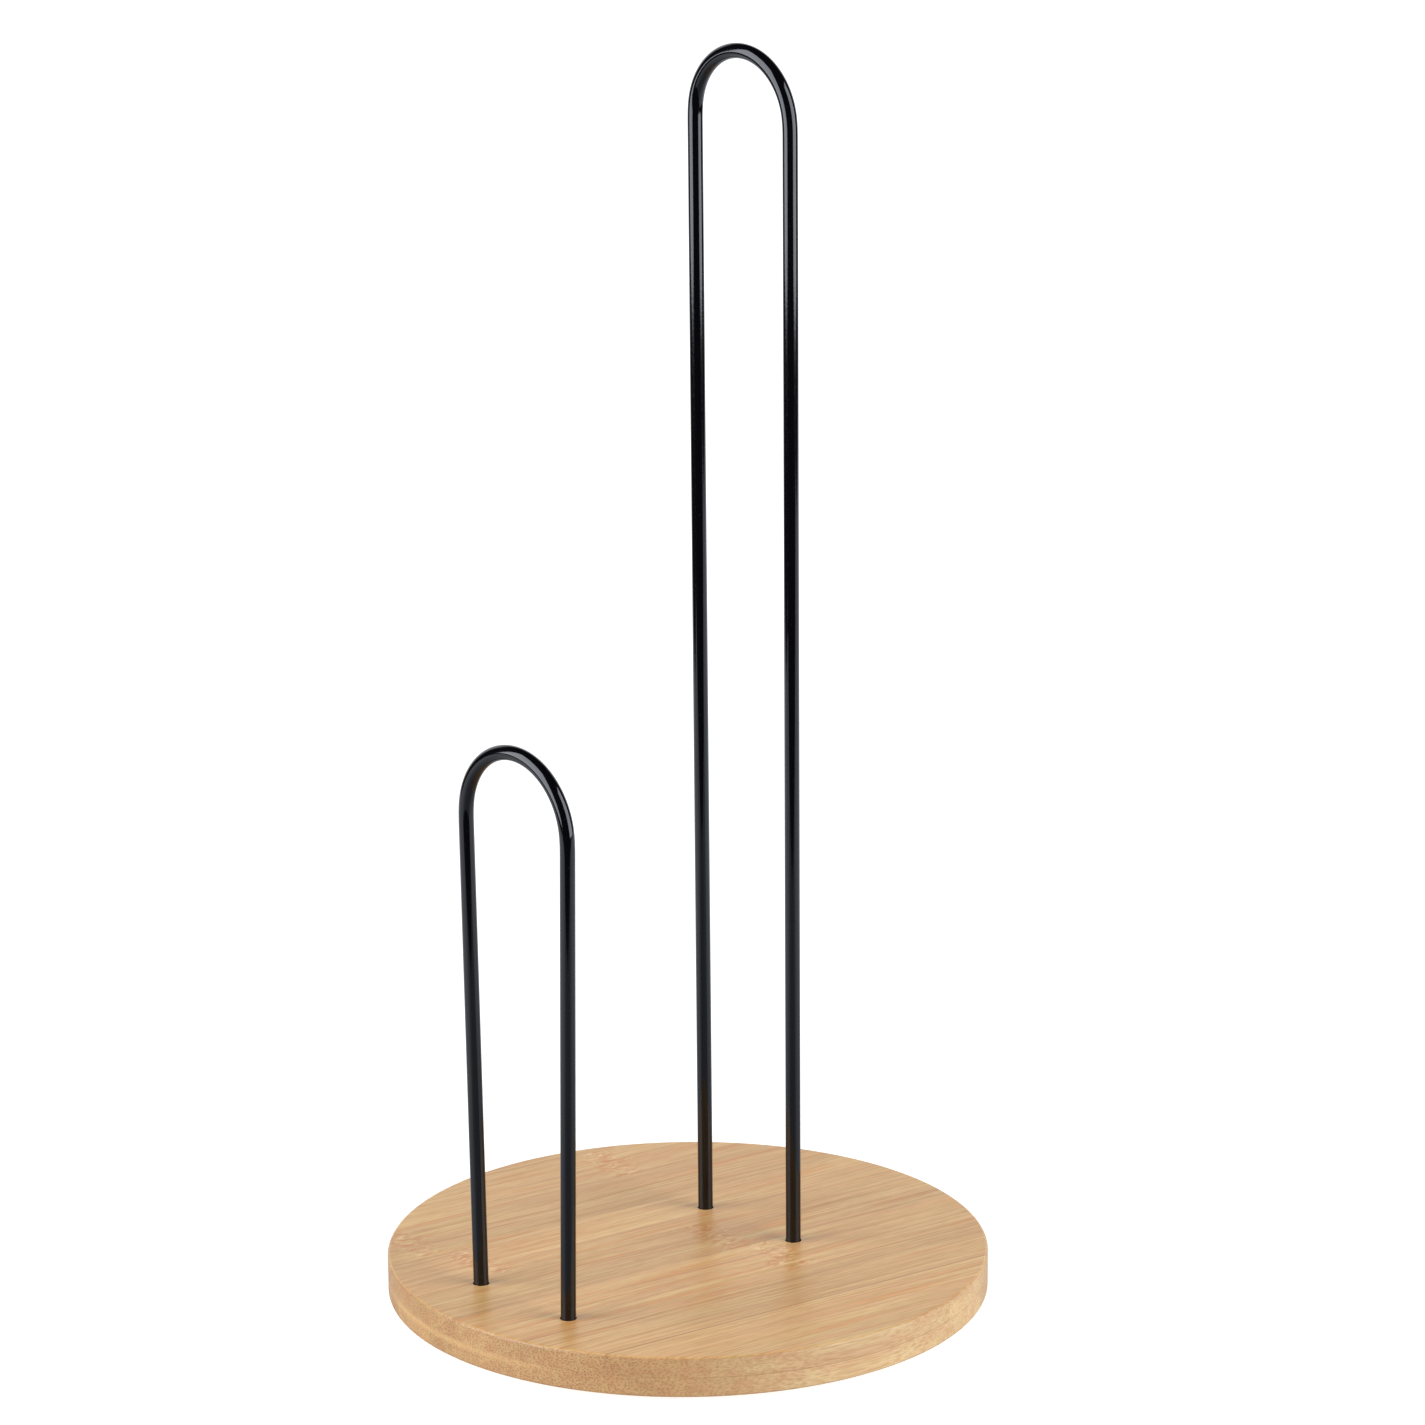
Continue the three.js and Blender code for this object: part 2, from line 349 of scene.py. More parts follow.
def hoop_path(hoop):
    """A hoop's centreline above the board: its length, a leg's length, and its points.

    The points are a function of the distance from the right foot. The arc is a little wide,
    because easing draws it inward by as much."""
    radius = hoop["crown_radius"]
    crown = hoop["apex"] - radius
    radius += BEND_EASE ** 2 / (24 * radius)
    foot = hoop["foot_half"]
    rise = crown - BOARD_TOP
    splay = math.asin(radius / math.hypot(foot, rise)) - math.atan(foot / rise)
    start = Vector((foot, 0, BOARD_TOP))
    touch = Vector((radius * math.cos(splay), 0, crown - radius * math.sin(splay)))
    leg = (touch - start).length
    length = 2 * leg + radius * (math.pi + 2 * splay)

    def at(distance):
        if distance > length / 2:
            other = at(length - distance)
            return Vector((-other.x, 0, other.z))
        if distance < leg:
            return start.lerp(touch, distance / leg)
        angle = (distance - leg) / radius - splay
        return Vector((radius * math.cos(angle), 0, crown + radius * math.sin(angle)))

    return length, leg, at


def leg_and_crown(hoop):
    """Rings of the plain wire from the right foot over the crown to the left foot.

    Each bend begins and ends gently, as in bent wire, because every ring's place is the
    mean of the path round it."""
    length, leg, at = hoop_path(hoop)
    bend = leg - BEND_EASE
    distances = [bend * i / LEG_STEPS for i in range(LEG_STEPS)]
    distances += [bend + (length - 2 * bend) * i / CROWN_STEPS for i in range(CROWN_STEPS)]
    distances += [length - bend + bend * i / LEG_STEPS for i in range(LEG_STEPS + 1)]
    stations = []
    for distance in distances:
        near = [
            at(distance + BEND_EASE * (i / EASE_SAMPLES - 0.5)) for i in range(EASE_SAMPLES + 1)
        ]
        point = sum(near, Vector()) / len(near)
        stations.append((point, (near[-1] - near[0]).normalized(), hoop["wire"], False))
    return stations


def hoop_mesh(hoop):
    """One wire, swept from the right stub's tip to the left one's."""
    right = stub_stations(hoop, 1)
    left = stub_stations(hoop, -1)
    stations = [*right, *leg_and_crown(hoop), *reversed(left)]
    verts, faces = [], []
    across = Vector((0, 1, 0))
    for centre, tangent, radius, threaded in stations:
        normal = across.cross(tangent)
        for i in range(WIRE_SIDES):
            angle = 2 * math.pi * i / WIRE_SIDES
            arm = math.cos(angle) * normal + math.sin(angle) * across
            depth = thread_depth_at(arm.x, arm.y, centre.z) if threaded else 0
            verts.append(centre + arm * (radius - depth) + Vector((0, hoop["y"], 0)))
    for row in range(len(stations) - 1):
        here, there = row * WIRE_SIDES, (row + 1) * WIRE_SIDES
        for i in range(WIRE_SIDES):
            j = (i + 1) % WIRE_SIDES
            faces.append((here + i, here + j, there + j, there + i))
    faces.append(tuple(reversed(range(WIRE_SIDES))))
    faces.append(tuple(range(len(verts) - WIRE_SIDES, len(verts))))
    return mesh_from(f"{hoop['label']} hoop", verts, faces)


# ---------------------------------------------------------------------------------------
# Fastenings and pads


def centre_of(node):
    """Where an upright round piece stands: its axis, its lower end and its upper end."""
    low, high = box_mm(node)
    return (low.x + high.x) / 2, (low.y + high.y) / 2, low.z, high.z


def half_width(node):
    low, high = box_mm(node)
    return (high.x - low.x) / 2


def washer_mesh(node):
    """A stamped washer, with its edges broken."""
    x, y, low, high = centre_of(node)
    outer = half_width(node)
    inner, edge = WASHER_INNER_RADIUS, WASHER_EDGE
    profile = [
        (inner, low), (outer - edge, low), (outer, low + edge),
        (outer, high - edge), (outer - edge, high), (inner, high),
    ]
    return turned(node, profile, HOLE_SIDES, x, y)


def nut_mesh(node):
    """A hexagon nut: its corners are turned down at both ends and its bore is countersunk."""
    x, y, low, high = centre_of(node)
    corner = (box_mm(node)[1].y - box_mm(node)[0].y) / 2
    face = corner * math.cos(math.pi / 6) * NUT_FACE_SHARE
    drop = (corner - face) * NUT_TURNING_SLOPE
    bar = turned(node, [(0, low), (corner, low), (corner, high), (0, high)], 6)
    bar.transform(Matrix.Rotation(math.pi / 6, 4, "Z"))
    bar.transform(Matrix.Translation((x, y, 0)))
    crowned = turned("crown", [
        (0, low), (face, low), (corner, low + drop), (corner, high - drop), (face, high), (0, high),
    ], HOLE_SIDES, x, y)
    bore, sink = NUT_BORE_RADIUS, NUT_SINK
    hole = turned("bore", [
        (0, low - OVERCUT), (bore + sink + OVERCUT, low - OVERCUT), (bore, low + sink),
        (bore, high - sink), (bore + sink + OVERCUT, high + OVERCUT), (0, high + OVERCUT),
    ], HOLE_SIDES, x, y)
    return boolean(boolean(bar, [crowned], "INTERSECT"), [hole], "DIFFERENCE")


def pad_mesh(node):
    """A round non-slip pad with a soft lower edge."""
    x, y, low, high = centre_of(node)
    radius = half_width(node)
    edge = PAD_EDGE
    profile = [(0, low)]
    profile += arris(radius - edge, low + edge, edge, -math.pi / 2)
    profile += [(radius, high), (0, high)]
    return turned(node, profile, HOLE_SIDES, x, y)


# ---------------------------------------------------------------------------------------
# Materials


def linear(red, green, blue):
    """An sRGB colour of 0 to 255 as the linear colour that a shader takes."""
    channels = []
    for value in (red / 255, green / 255, blue / 255):
        channels.append(value / 12.92 if value <= 0.04045 else ((value + 0.055) / 1.055) ** 2.4)
    return (*channels, 1.0)


# Names of the shader's sockets that aren't one plain word.
TITLES = {
    "base_color": "Base Color",
    "ior": "IOR",
    "specular_tint": "Specular Tint",
    "emission_color": "Emission Color",
    "emission_strength": "Emission Strength",
}


class Tree:
    """The nodes of a material or a world, with short calls for the few kinds used here."""

    def __init__(self, owner):
        owner.use_nodes = True
        self.nodes = owner.node_tree.nodes
        self.links = owner.node_tree.links

    def put(self, socket, value):
        if isinstance(value, bpy.types.NodeSocket):
            self.links.new(value, socket)
        else:
            socket.default_value = value

    def set(self, **values):
        """Sets the shader's sockets: base_color=... is its Base Color."""
        for name, value in values.items():
            self.put(self.nodes["Principled BSDF"].inputs[TITLES.get(name, name.title())], value)

    def math(self, operation, a, b=0.0, c=0.0):
        node = self.nodes.new("ShaderNodeMath")
        node.operation = operation
        for socket, value in zip(node.inputs, (a, b, c)):
            self.put(socket, value)
        return node.outputs[0]

    def mix(self, factor, a, b, blend="MIX"):
        node = self.nodes.new("ShaderNodeMix")
        node.data_type = "RGBA"
        node.blend_type = blend
        self.put(node.inputs[0], factor)
        self.put(node.inputs[6], a)
        self.put(node.inputs[7], b)
        return node.outputs[2]

    def mix_value(self, factor, a, b):
        node = self.nodes.new("ShaderNodeMix")
        self.put(node.inputs[0], factor)
        self.put(node.inputs[2], a)
        self.put(node.inputs[3], b)
        return node.outputs[0]

    def step(self, value, start, end, low=0.0, high=1.0):
        """Goes smoothly from low to high as the value goes from start to end."""
        node = self.nodes.new("ShaderNodeMapRange")
        node.interpolation_type = "SMOOTHSTEP"
        for socket, number in zip(node.inputs, (value, start, end, low, high)):
            self.put(socket, number)
        return node.outputs[0]

    def scaled(self, vector, x, y, z):
        node = self.nodes.new("ShaderNodeVectorMath")
        node.operation = "MULTIPLY"
        self.put(node.inputs[0], vector)
        node.inputs[1].default_value = (x, y, z)
        return node.outputs[0]

    def noise(self, vector, detail=2.0, roughness=0.5):
        node = self.nodes.new("ShaderNodeTexNoise")
        self.put(node.inputs["Vector"], vector)
        node.inputs["Scale"].default_value = 1.0
        node.inputs["Detail"].default_value = detail
        node.inputs["Roughness"].default_value = roughness
        return node.outputs["Fac"]

    def cells(self, vector):
        """Distance to the nearest cell's middle."""
        node = self.nodes.new("ShaderNodeTexVoronoi")
        self.put(node.inputs["Vector"], vector)
        node.inputs["Scale"].default_value = 1.0
        return node.outputs["Distance"]

    def cells_2d(self, vector):
        """Distance to the nearest cell's middle in the X, Y plane, and the cell's own shade."""
        node = self.nodes.new("ShaderNodeTexVoronoi")
        node.voronoi_dimensions = "2D"
        self.put(node.inputs["Vector"], vector)
        node.inputs["Scale"].default_value = 1.0
        return node.outputs["Distance"], self.split(node.outputs["Color"])[0]

    def bump(self, height, strength, distance):
        """Bends the normal over a height of 0 to 1, whose full depth is a distance in metres."""
        node = self.nodes.new("ShaderNodeBump")
        node.inputs["Strength"].default_value = strength
        node.inputs["Distance"].default_value = distance
        self.put(node.inputs["Height"], height)
        return node.outputs[0]

    def place_mm(self, turn=0.0):
        """The surface point in millimetres, turned about Z."""
        coordinates = self.nodes.new("ShaderNodeTexCoord")
        mapping = self.nodes.new("ShaderNodeMapping")
        self.put(mapping.inputs["Vector"], coordinates.outputs["Object"])
        mapping.inputs["Scale"].default_value = (1 / MM,) * 3
        mapping.inputs["Rotation"].default_value = (0, 0, turn)
        return mapping.outputs[0]

    def dot(self, vector, direction):
        """The share of a vector along a fixed direction."""
        node = self.nodes.new("ShaderNodeVectorMath")
        node.operation = "DOT_PRODUCT"
        self.put(node.inputs[0], vector)
        node.inputs[1].default_value = direction
        return node.outputs["Value"]

    def length(self, vector):
        node = self.nodes.new("ShaderNodeVectorMath")
        node.operation = "LENGTH"
        self.put(node.inputs[0], vector)
        return node.outputs["Value"]

    def split(self, vector):
        node = self.nodes.new("ShaderNodeSeparateXYZ")
        self.put(node.inputs[0], vector)
        return node.outputs

    def join(self, x, y, z):
        node = self.nodes.new("ShaderNodeCombineXYZ")
        for socket, value in zip(node.inputs, (x, y, z)):
            self.put(socket, value)
        return node.outputs[0]


# Colours of bamboo, from its palest to the glue between its staves.
PALE = linear(206, 170, 113)
STRAW = linear(201, 156, 105)
STREAK = linear(172, 120, 66)
AMBER = linear(198, 134, 70)
BUNDLE = linear(146, 98, 50)
KNUCKLE_DARK = linear(184, 118, 58)
KNUCKLE_PALE = linear(222, 190, 140)
GLUE = linear(120, 78, 42)

# The sanded rim is darker and duller than the polished faces; over its rounded edges that
# darkening is partly painted shade. A painted sheen makes the rim paler and bluer on the two
# sides that face along a line at this angle from +X, where it runs nearly along the grain.
RIM_SHADE = (0.655, 0.625, 0.635, 1.0)
RIM_PAINTED_SHEEN = (1.27, 1.48, 1.8, 1.0)
RIM_PAINTED_SHEEN_FACING = math.radians(7.1)
RIM_ROUGHNESS = 0.42

# The pale upper edge of the lower ply: its middle's depth under the joint, where it starts
# to fade and where it ends, to either side of that.
LIP_DEPTH = 0.7
LIP_CORE = 0.1
LIP_REACH = 1.4

# Pitch of the bamboo's vascular bundles: dots in its end grain, fine lines along its faces.
BUNDLE_PITCH = 0.68


def bamboo(name, left, right, seed, tone, knuckles, joint_strengths):
    """Lacquered bamboo of one stave, whose fibres run along the board's grain.

    left and right are the stave's edges across the grain. knuckles are the places along
    the grain where the culm had its nodes."""
    material = bpy.data.materials.new(name)
    tree = Tree(material)
    across, along, height = tree.split(tree.place_mm(GRAIN_LEAN))
    mask = knuckle_mask(tree, across, along, seed, knuckles)
    fibre = fibre_across(tree, across, along, height, seed, mask)
    place = tree.join(fibre, tree.math("ADD", along, seed * 173.0), height)

    fine = tree.noise(tree.scaled(place, 2.1, 0.026, 2.1), detail=1.5, roughness=0.6)
    short = tree.noise(tree.scaled(place, 2.3, 0.2, 2.3), detail=1.0)
    band = tree.noise(tree.scaled(place, 0.4, 0.012, 0.4), detail=2.0)
    broad = tree.noise(tree.scaled(place, 0.07, 0.012, 0.09), detail=1.0)
    rare = tree.noise(tree.scaled(place, 0.42, 0.022, 0.42), detail=2.0)
    rim, end_grain, square_cut, painted_sheen_side = rim_shares(tree)
    along_face = tree.math("MULTIPLY_ADD", end_grain, -0.85, 1.0)
    bundle = bundles(tree, fibre, height, place, seed, end_grain)

    colour = tree.mix(tree.step(band, 0.35, 0.65), PALE, STRAW)
    on_face = tree.math("SUBTRACT", 1.0, rim)
    amber = tree.math("MULTIPLY", tree.step(rare, 0.54, 0.74, 0.0, 0.8), on_face)
    colour = tree.mix(amber, colour, AMBER)
    streaks = tree.math("MULTIPLY", tree.step(fine, 0.42, 0.68, 0.0, 0.54), along_face)
    colour = tree.mix(streaks, colour, STREAK)
    colour = tree.mix(tree.step(short, 0.46, 0.66, 0.0, 0.3), colour, STREAK)
    bundle_depth = tree.mix_value(rim, 0.4, tree.math("MULTIPLY_ADD", end_grain, 0.6, 0.08))
    bundle_share = tree.math("MULTIPLY", bundle, bundle_depth)
    colour = tree.mix(bundle_share, colour, BUNDLE)
    colour = knuckle_colour(tree, colour, mask, place)
    shade = tree.math("MULTIPLY_ADD", tree.math("SUBTRACT", broad, 0.5), 0.3, 1.0 + tone)
    colour = tree.mix(1.0, colour, tree.join(shade, shade, shade), blend="MULTIPLY")
    # Over the rounded top and bottom edges this darkening is partly painted shade: it tones down the
    # top edge's stronger light and darkens the bottom edge above the floor's shadow.
    colour = tree.mix(rim, colour, RIM_SHADE, blend="MULTIPLY")
    # Painted sheen: the rim's colour is raised, most in blue, on the two sides it faces.
    colour = tree.mix(painted_sheen_side, colour, RIM_PAINTED_SHEEN, blend="MULTIPLY")
    colour = glue_lines(tree, colour, across, height, (left, right), joint_strengths, along_face)
    colour = pale_lip(tree, colour, height, square_cut)

    grooves = tree.math("MULTIPLY_ADD", bundle, -0.35, tree.math("MULTIPLY", fine, 0.6))
    polish = tree.math("MULTIPLY_ADD", fine, 0.14, 0.31)
    tree.set(
        base_color=colour,
        roughness=tree.mix_value(rim, polish, RIM_ROUGHNESS),
        normal=tree.bump(grooves, 0.25, 0.00003),
    )
    return material


def fibre_across(tree, across, along, height, seed, mask):
    """Distance across the grain, along fibres that wander and that swirl at a node."""
    slow = tree.join(
        tree.math("MULTIPLY", across, 0.03), tree.math("MULTIPLY_ADD", along, 0.022, seed * 7.3), 0.0
    )
    wander = tree.math("MULTIPLY", tree.math("SUBTRACT", tree.noise(slow), 0.5), 2.4)
    eddy = tree.noise(tree.join(
        tree.math("MULTIPLY", across, 0.8), tree.math("MULTIPLY_ADD", along, 0.3, seed), height
    ))
    swirl = tree.math("MULTIPLY", tree.math("SUBTRACT", eddy, 0.5), tree.math("MULTIPLY", mask, 2.4))
    return tree.math("ADD", tree.math("ADD", across, wander), swirl)


def bundles(tree, fibre, height, place, seed, end_grain):
    """The vascular bundles, from 0 between them to 1 in the middle of a dark one."""
    section = tree.join(fibre, tree.math("ADD", height, seed * 3.7), 0.0)
    scale = 1 / BUNDLE_PITCH
    distance, shade = tree.cells_2d(tree.scaled(section, scale, scale, scale))
    inside = tree.step(distance, 0.44, 0.16)
    strength = tree.step(shade, 0.0, 1.0, 0.5, 1.0)
    fading = tree.step(tree.noise(tree.scaled(place, 0.5, 0.02, 0.5)), 0.3, 0.62, 0.35, 1.0)
    fading = tree.math("MAXIMUM", fading, end_grain)
    return tree.math("MULTIPLY", tree.math("MULTIPLY", inside, strength), fading)


def rim_shares(tree):
    """How far the surface belongs to the rim, cuts across the fibres, cuts squarely across
    them, and faces the sides that carry the rim's painted sheen."""
    normal = tree.nodes.new("ShaderNodeNewGeometry").outputs["True Normal"]
    upward = tree.split(normal)[2]
    # The underside counts as a face but the lower rounded edge as rim, so that edge takes the rim's
    # darkening, partly as painted shade.
    flat = tree.math("MAXIMUM", upward, tree.step(upward, -0.9, -1.0))
    fibres = (math.sin(GRAIN_LEAN), math.cos(GRAIN_LEAN), 0)
    painted_sheen_side = (math.cos(RIM_PAINTED_SHEEN_FACING), math.sin(RIM_PAINTED_SHEEN_FACING), 0)
    end_facing = tree.math("ABSOLUTE", tree.dot(normal, fibres))
    painted_sheen_facing = tree.math("ABSOLUTE", tree.dot(normal, painted_sheen_side))
    end_grain = tree.step(end_facing, 0.15, 0.85)
    square_cut = tree.step(end_facing, 0.8, 1.0)
    return tree.step(flat, 0.97, 0.5), end_grain, square_cut, tree.step(painted_sheen_facing, 0.55, 1.0)


def glue_lines(tree, colour, across, height, edges, strengths, along_face):
    """Darkens the glue along a stave's edges and between the plies, most along the grain."""
    for edge, direction, strength in zip(edges, (1, -1), strengths):
        inward = tree.math("MULTIPLY", tree.math("SUBTRACT", across, edge), float(direction))
        line = tree.math("MULTIPLY", tree.step(inward, 0.3, 0.04, 0.0, strength), along_face)
        colour = tree.mix(line, colour, GLUE)
    from_joint = tree.math("ABSOLUTE", tree.math("SUBTRACT", height, PLY_JOINT))
    line = tree.math("MULTIPLY", tree.step(from_joint, 0.2, 0.04, 0.0, 0.5), along_face)
    return tree.mix(line, colour, GLUE)


def pale_lip(tree, colour, height, square_cut):
    """Lightens the lower ply's upper edge on the rim, where the fibres are cut squarely."""
    away = tree.math("ABSOLUTE", tree.math("SUBTRACT", height, PLY_JOINT - LIP_DEPTH))
    lip = tree.math("MULTIPLY", tree.step(away, LIP_REACH, LIP_CORE, 0.0, 0.3), square_cut)
    return tree.mix(lip, colour, PALE)


def knuckle_mask(tree, across, along, seed, knuckles):
    """How far a point belongs to one of the stave's nodes, from 0 to 1."""
    mask = 0.0
    waver = tree.noise(tree.join(tree.math("MULTIPLY_ADD", across, 0.16, seed * 3.1), 0.0, 0.0))
    waver = tree.math("MULTIPLY", tree.math("SUBTRACT", waver, 0.5), 12.0)
    for where in knuckles:
        away = tree.math("ABSOLUTE", tree.math("SUBTRACT", tree.math("ADD", along, waver), where))
        mask = tree.math("MAXIMUM", tree.step(away, 8.0, 1.0), mask)
    return mask


def knuckle_colour(tree, colour, mask, place):
    """Mottles a node with short dark and pale flecks."""
    dark = tree.step(tree.noise(tree.scaled(place, 0.7, 0.26, 0.7), detail=2.0), 0.46, 0.6)
    pale = tree.step(tree.noise(tree.scaled(place, 1.2, 0.36, 1.1), detail=2.0), 0.46, 0.34)
    dark_share = tree.math("MULTIPLY", dark, tree.math("MULTIPLY", mask, 0.75))
    pale_share = tree.math("MULTIPLY", pale, tree.math("MULTIPLY", mask, 0.55))
    colour = tree.mix(dark_share, colour, KNUCKLE_DARK)
    return tree.mix(pale_share, colour, KNUCKLE_PALE)


def black_enamel():
    """Gloss black enamel on wire, with a faint orange peel and a few fine specks."""
    material = bpy.data.materials.new("black enamel")
    tree = Tree(material)
    place = tree.place_mm()
    peel = tree.noise(tree.scaled(place, 1.6, 1.6, 0.9), detail=2.0)
    specks = tree.step(tree.cells(tree.scaled(place, 0.55, 0.55, 0.55)), 0.09, 0.05)
    height = tree.math("MULTIPLY_ADD", specks, 0.5, peel)
    tree.set(
        base_color=tree.mix(specks, (0.0012, 0.0010, 0.0018, 1), (0.012, 0.012, 0.013, 1)),
        roughness=tree.math("MULTIPLY_ADD", peel, 0.06, 0.05),
        ior=1.5,
        specular_tint=(0.92, 0.95, 1.0, 1.0),
        normal=tree.bump(height, 0.12, 0.00003),
    )
    return material


def zinc_steel():
    """Bright zinc plate with a fine cloudy grain."""
    material = bpy.data.materials.new("zinc plate")
    tree = Tree(material)
    place = tree.place_mm()
    cloud = tree.noise(tree.scaled(place, 0.9, 0.9, 0.9), detail=3.0)
    grain = tree.noise(tree.scaled(place, 14.0, 14.0, 3.0), detail=2.0)
    tree.set(
        base_color=tree.mix(cloud, (0.50, 0.51, 0.54, 1), (0.66, 0.65, 0.61, 1)),
        metallic=1.0,
        roughness=tree.math("MULTIPLY_ADD", grain, 0.2, 0.22),
        normal=tree.bump(grain, 0.15, 0.00002),
    )
    return material


def pad_rubber():
    """Matt black rubber with a fine pebbled skin."""
    material = bpy.data.materials.new("pad rubber")
    tree = Tree(material)
    place = tree.place_mm()
    pebbles = tree.cells(tree.scaled(place, 2.2, 2.2, 2.2))
    dust = tree.noise(tree.scaled(place, 0.4, 0.4, 0.4), detail=3.0)
    tree.set(
        base_color=tree.mix(dust, (0.016, 0.016, 0.017, 1), (0.034, 0.033, 0.032, 1)),
        roughness=tree.math("MULTIPLY_ADD", pebbles, -0.2, 0.9),
        normal=tree.bump(pebbles, 0.5, 0.00008),
    )
    return material


# ---------------------------------------------------------------------------------------
# The pieces

# Places along the grain of the nodes that each stave shows, by its number. Then each
# stave's tone, and how dark the glue line on each side of it is.
UPPER_KNUCKLES = {2: [17.5], 3: [-60.5], 4: [-52.0], 5: [9.5], 6: [15.5]}
LOWER_KNUCKLES = {1: [22.0], 2: [-30.0], 3: [48.0], 4: [-12.0], 6: [35.0], 7: [-44.0]}
TONES = [0.0, 0.03, -0.03, 0.02, -0.02, 0.04, 0.0, 0.03, -0.02]
FAINT, PLAIN, STRONG = 0.06, 0.16, 0.7
UPPER_JOINT_STRENGTHS = [FAINT, PLAIN, FAINT, FAINT, FAINT, PLAIN, STRONG, FAINT]
LOWER_JOINT_STRENGTHS = [FAINT, FAINT, PLAIN, FAINT, FAINT, PLAIN, FAINT]


def add_staves(nodes, disc, joint_offset, slot, knuckles, strengths, first_seed, ply_tone):
    """Saws a drilled ply into its staves."""
    edges = stave_edges(joint_offset)
    ends = [0.0, *strengths[: len(edges) - 2], 0.0]
    for i, node in enumerate(nodes):
        left, right = edges[i], edges[i + 1]
        mesh = boolean(disc.copy(), [slab(left, right)], "INTERSECT")
        obj = finish_mesh(f"{node}_fine", mesh, math.radians(25))
        keep_flats(obj)
        material = bamboo(
            f"bamboo {node}", left, right, first_seed + i, TONES[i] + ply_tone,
            knuckles.get(i + 1, []), (ends[i], ends[i + 1]),
        )
        place(obj, node, slot, material)


def add_board():
    add_staves(
        UPPER_STAVES, upper_disc(), UPPER_JOINT_OFFSET, "bamboo_upper",
        UPPER_KNUCKLES, UPPER_JOINT_STRENGTHS, 1.0, 0.0,
    )
    add_staves(
        LOWER_STAVES, lower_disc(), LOWER_JOINT_OFFSET, "bamboo_lower",
        LOWER_KNUCKLES, LOWER_JOINT_STRENGTHS, 3.5, 0.04,
    )


def add_hoops():
    enamel = black_enamel()
    for hoop in HOOPS:
        node = f"{hoop['label']}_hoop"
        obj = finish_mesh(f"{node}_wire", hoop_mesh(hoop), math.radians(40))
        place(obj, node, "black_enamel", enamel)


def add_fastenings():
    zinc = zinc_steel()
    rubber = pad_rubber()
    for node in sorted(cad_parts):
        if node.startswith("washer_"):
            obj = finish_mesh(f"{node}_fine", washer_mesh(node), math.radians(30))
            keep_flats(obj)
            place(obj, node, "zinc_steel", zinc)
        elif node.startswith("nut_"):
            obj = finish_mesh(f"{node}_fine", nut_mesh(node), math.radians(25))
            keep_flats(obj)
            place(obj, node, "zinc_steel", zinc)
        elif node.startswith("pad_"):
            obj = finish_mesh(f"{node}_fine", pad_mesh(node), math.radians(40))
            keep_flats(obj)
            place(obj, node, "pad_rubber", rubber)


# ---------------------------------------------------------------------------------------
# Camera, floor and light, in metres

CAMERA_AZIMUTH = math.radians(47.1)
CAMERA_PITCH = math.radians(16.02)
CAMERA_ROLL = math.radians(-0.45)
CAMERA_AWAY = 1.4994
CAMERA_ASIDE = 0.0077
CAMERA_HEIGHT = 0.5906
CAMERA_LENS = 151.55
SENSOR = 36.0

TOWARDS_CAMERA = Vector((math.sin(CAMERA_AZIMUTH), -math.cos(CAMERA_AZIMUTH), 0))
TO_THE_RIGHT = Vector((math.cos(CAMERA_AZIMUTH), math.sin(CAMERA_AZIMUTH), 0))


def add_camera():
    data = bpy.data.cameras.new("camera")
    data.lens = CAMERA_LENS
    data.sensor_width = SENSOR
    camera = bpy.data.objects.new("camera", data)
    bpy.context.scene.collection.objects.link(camera)
    camera.location = (
        CAMERA_AWAY * TOWARDS_CAMERA + CAMERA_ASIDE * TO_THE_RIGHT
        + Vector((0, 0, CAMERA_HEIGHT))
    )
    turn = Matrix.Rotation(CAMERA_AZIMUTH, 4, "Z")
    tilt = Matrix.Rotation(math.pi / 2 - CAMERA_PITCH, 4, "X")
    roll = Matrix.Rotation(CAMERA_ROLL, 4, "Z")
    camera.rotation_euler = (turn @ tilt @ roll).to_euler()
    bpy.context.scene.camera = camera


# The floor's half width in metres. Then, in millimetres from the middle of the board, where
# the shadow under it ends and where the floor's glow grows from its first value to its last.
FLOOR_HALF = 30.0
FLOOR_SHADOW_EDGE = (70.0, 76.0)
FLOOR_GLOW_REACH = (200.0, 900.0)
FLOOR_GLOW = (0.86, 1.1)


def add_floor():
    """A pale floor with a glow of its own, except in the shadow under the board."""
    half = FLOOR_HALF
    mesh = mesh_from("floor", [
        (-half, -half, 0), (half, -half, 0), (half, half, 0), (-half, half, 0),
    ], [(0, 1, 2, 3)])
    floor = as_object(mesh)
    material = bpy.data.materials.new("floor")
    tree = Tree(material)
    place = tree.place_mm()
    tint = tree.noise(tree.scaled(place, 0.002, 0.002, 0.002))
    distance = tree.length(place)
    lit = tree.step(distance, *FLOOR_SHADOW_EDGE)
    glow = tree.step(distance, *FLOOR_GLOW_REACH, *FLOOR_GLOW)
    tree.set(
        base_color=tree.mix(tint, (0.34, 0.34, 0.34, 1), (0.36, 0.36, 0.36, 1)),
        roughness=0.9,
        emission_color=(1, 1, 1, 1),
        emission_strength=tree.math("MULTIPLY", lit, glow),
    )
    mesh.materials.append(material)
    floor.visible_glossy = False


# How far the softboxes stand from the holder, how tall they are, and their colour.
SOFTBOX_AWAY = 1.2
SOFTBOX_HEIGHT = 1.6
SOFTBOX_COLOUR = (0.97, 0.99, 1.04)

# The lit table top that gloss mirrors, seen from the camera: how far it reaches, its
# brightness in front, behind and at its sides, and in millimetres where that changes.
TABLE_LEFT, TABLE_RIGHT = -0.58, 0.88
TABLE_FRONT, TABLE_BACK = 0.36, -2.0
TABLE_FRONT_RADIANCE, TABLE_BACK_RADIANCE = 0.32, 0.8
TABLE_SIDE_RADIANCE = 0.36
TABLE_DEPTH_CHANGE = (-150.0, 350.0)
TABLE_SIDE_CHANGE = (40.0, 350.0)


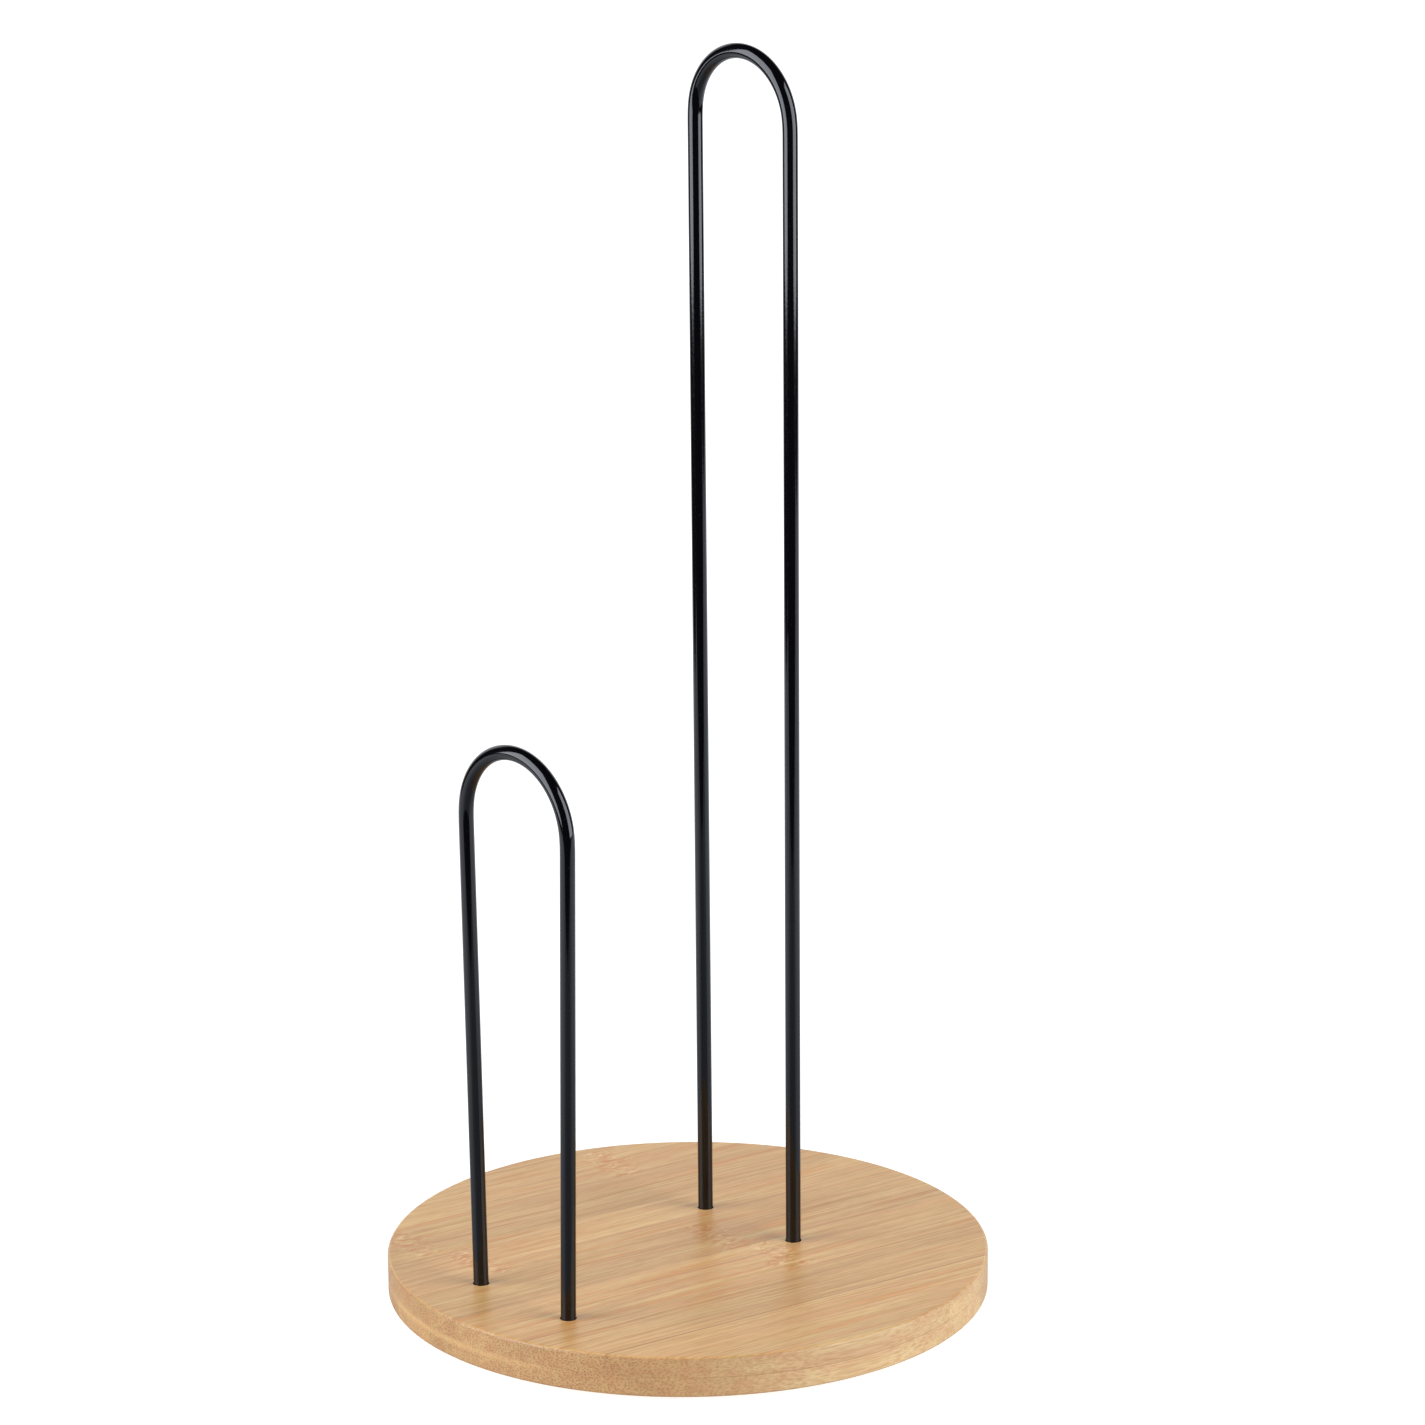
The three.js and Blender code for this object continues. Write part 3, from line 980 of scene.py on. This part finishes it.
def add_table_reflection():
    """The table top as gloss sees it. Its local X is to the camera's right, its Y away."""
    mesh = mesh_from("table reflection", [
        (TABLE_LEFT, -TABLE_FRONT, 0), (TABLE_RIGHT, -TABLE_FRONT, 0),
        (TABLE_RIGHT, -TABLE_BACK, 0), (TABLE_LEFT, -TABLE_BACK, 0),
    ], [(0, 1, 2, 3)])
    table = as_object(mesh)
    table.rotation_euler = (0, 0, CAMERA_AZIMUTH)
    material = bpy.data.materials.new("table reflection")
    tree = Tree(material)
    aside, away, _ = tree.split(tree.place_mm())
    depth = tree.step(away, *TABLE_DEPTH_CHANGE, TABLE_FRONT_RADIANCE, TABLE_BACK_RADIANCE)
    side = tree.step(
        tree.math("ABSOLUTE", aside), *TABLE_SIDE_CHANGE, 0.0, TABLE_SIDE_RADIANCE
    )
    tree.set(
        base_color=(0, 0, 0, 1),
        emission_color=(*SOFTBOX_COLOUR, 1),
        emission_strength=tree.math("ADD", depth, side),
    )
    mesh.materials.append(material)
    table.visible_camera = False
    table.visible_diffuse = False
    table.visible_shadow = False


def add_softbox(name, bearing, width, radiance):
    """An upright soft light beside the table, which stands on its level and faces the
    holder. Bearing is from the camera, in degrees, positive to its right."""
    data = bpy.data.lights.new(name, "AREA")
    data.shape = "RECTANGLE"
    data.size = width
    data.size_y = SOFTBOX_HEIGHT
    data.color = SOFTBOX_COLOUR
    data.energy = radiance * 4 * width * SOFTBOX_HEIGHT
    light = bpy.data.objects.new(name, data)
    bpy.context.scene.collection.objects.link(light)
    angle = math.radians(bearing)
    away = math.cos(angle) * TOWARDS_CAMERA + math.sin(angle) * TO_THE_RIGHT
    light.location = away * SOFTBOX_AWAY + Vector((0, 0, SOFTBOX_HEIGHT / 2))
    light.rotation_euler = away.to_track_quat("Z", "Y").to_euler()
    light.visible_camera = False


def add_lights():
    add_softbox("left softbox", bearing=-70, width=1.15, radiance=4.05)
    add_softbox("right softbox", bearing=67, width=1.1, radiance=3.75)


# The room's brightness: its even fill, what gloss sees of it, and the pale wall behind.
# The wall fades in as a ray's part away from the camera grows over the one range, and as
# its part upwards falls over the other.
ROOM_FILL = 0.33
ROOM_GLOSS = 0.02
WALL_RADIANCE = 1.25
WALL_SIDES = (0.5, 0.8)
WALL_TOP = (0.62, 0.4)


def add_world():
    """White to the camera, dim to the surfaces, and for gloss a pale wall behind."""
    world = bpy.data.worlds.new("studio")
    bpy.context.scene.world = world
    tree = Tree(world)
    direction = tree.nodes.new("ShaderNodeTexCoord").outputs["Generated"]
    behind = tree.step(tree.dot(direction, -TOWARDS_CAMERA), *WALL_SIDES)
    low = tree.step(tree.split(direction)[2], *WALL_TOP)
    wall = tree.math("MULTIPLY", behind, low)
    gloss = tree.math("MULTIPLY_ADD", wall, WALL_RADIANCE, ROOM_GLOSS)
    path = tree.nodes.new("ShaderNodeLightPath").outputs
    seen = tree.mix_value(path["Is Glossy Ray"], ROOM_FILL, gloss)
    seen = tree.mix_value(path["Is Camera Ray"], seen, 1.0)
    background = tree.nodes["Background"]
    background.inputs["Color"].default_value = (1, 1, 1, 1)
    tree.put(background.inputs["Strength"], seen)


add_camera()
add_board()
add_hoops()
add_fastenings()
add_floor()
add_table_reflection()
add_lights()
add_world()
bpy.context.scene.view_settings.view_transform = "Standard"
